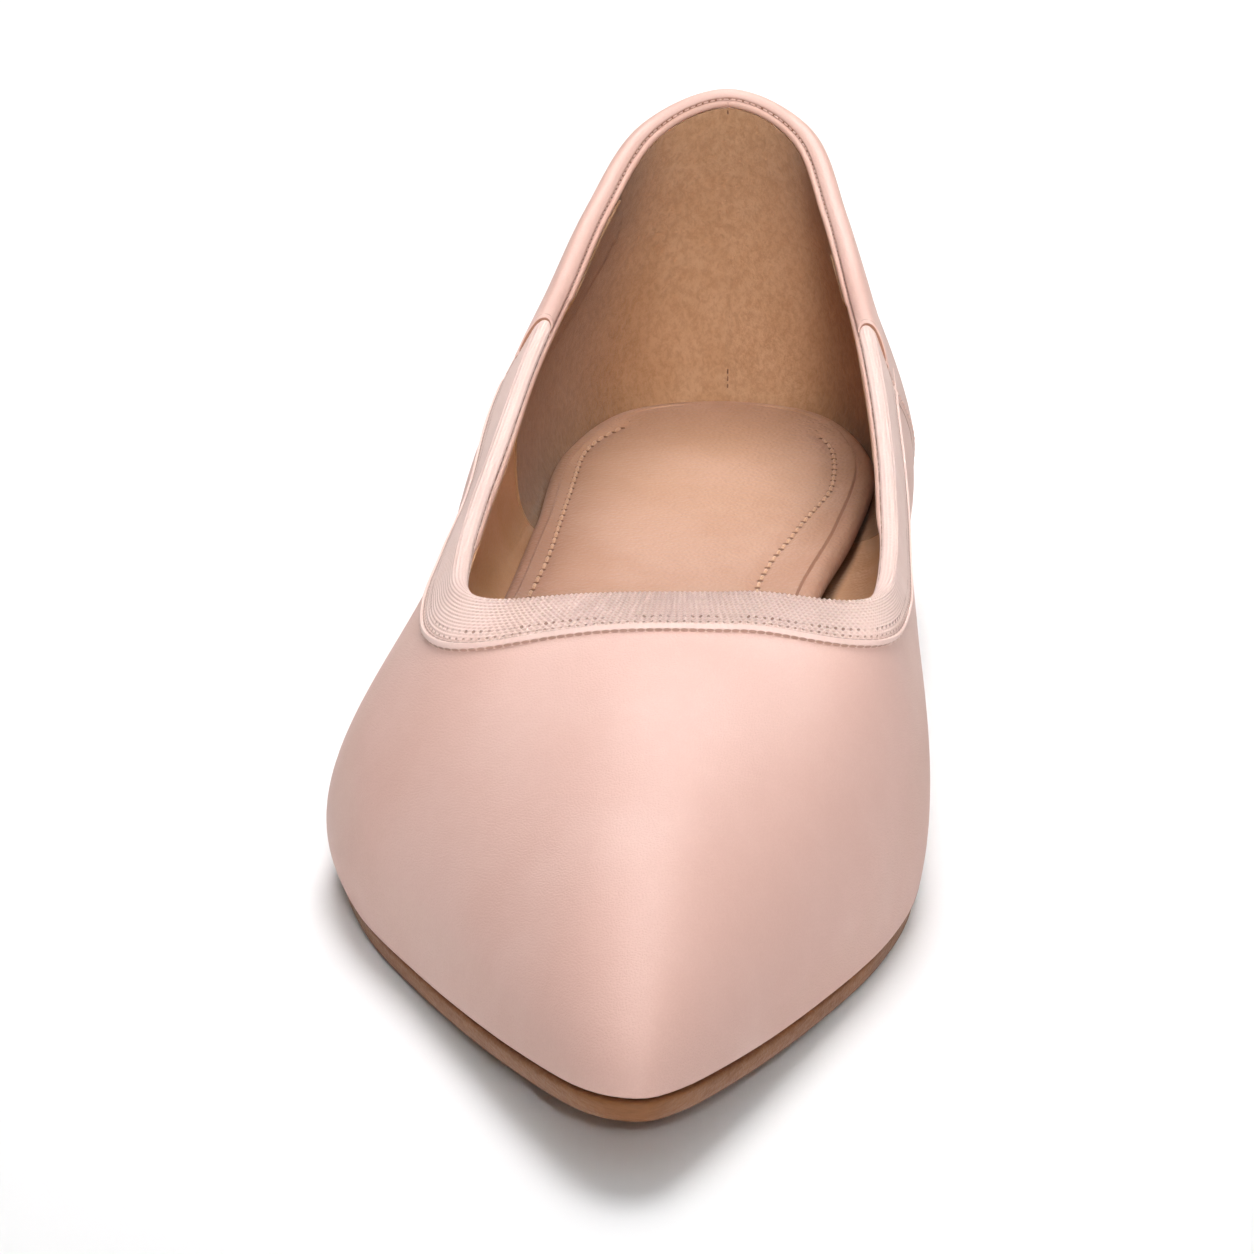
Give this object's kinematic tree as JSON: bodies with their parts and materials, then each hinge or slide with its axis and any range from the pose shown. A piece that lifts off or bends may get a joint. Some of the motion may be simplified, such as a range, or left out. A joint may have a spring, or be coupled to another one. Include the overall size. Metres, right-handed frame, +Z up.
{
  "type": "ballet flat",
  "caption": "Low-heeled pointed ballet flat for a right foot, with a hollow lasted leather upper, a square knitted elastic throat, a rolled collar and a padded sock.",
  "frame": {"origin": "middle of the shoe's box, on the floor it stands on", "axes": "+Y towards the heel, -Y towards the toe, +X towards the inner side of the right foot, +Z up"},
  "size_m": [0.0859, 0.2554, 0.0674],
  "materials": {
    "sole_leather": "smooth waxed tan sole leather with a darker inked edge",
    "heel_leather": "stacked tan heel leather, waxed edge",
    "upper_leather": "soft matte blush calf leather with a very fine grain",
    "sock_leather": "matte tan-pink lining leather, sewn and lightly padded",
    "knit_elastic": "fine ribbed knitted elastic, sewn at its outer edge",
    "collar_leather": "rolled blush leather edge with a stitched groove"
  },
  "bodies": {
    "root": {"outsole": "sole_leather", "heel": "heel_leather", "upper": "upper_leather", "insole": "sock_leather", "throat_band": "knit_elastic", "collar_roll": "collar_leather"}
  },
  "joints": []
}
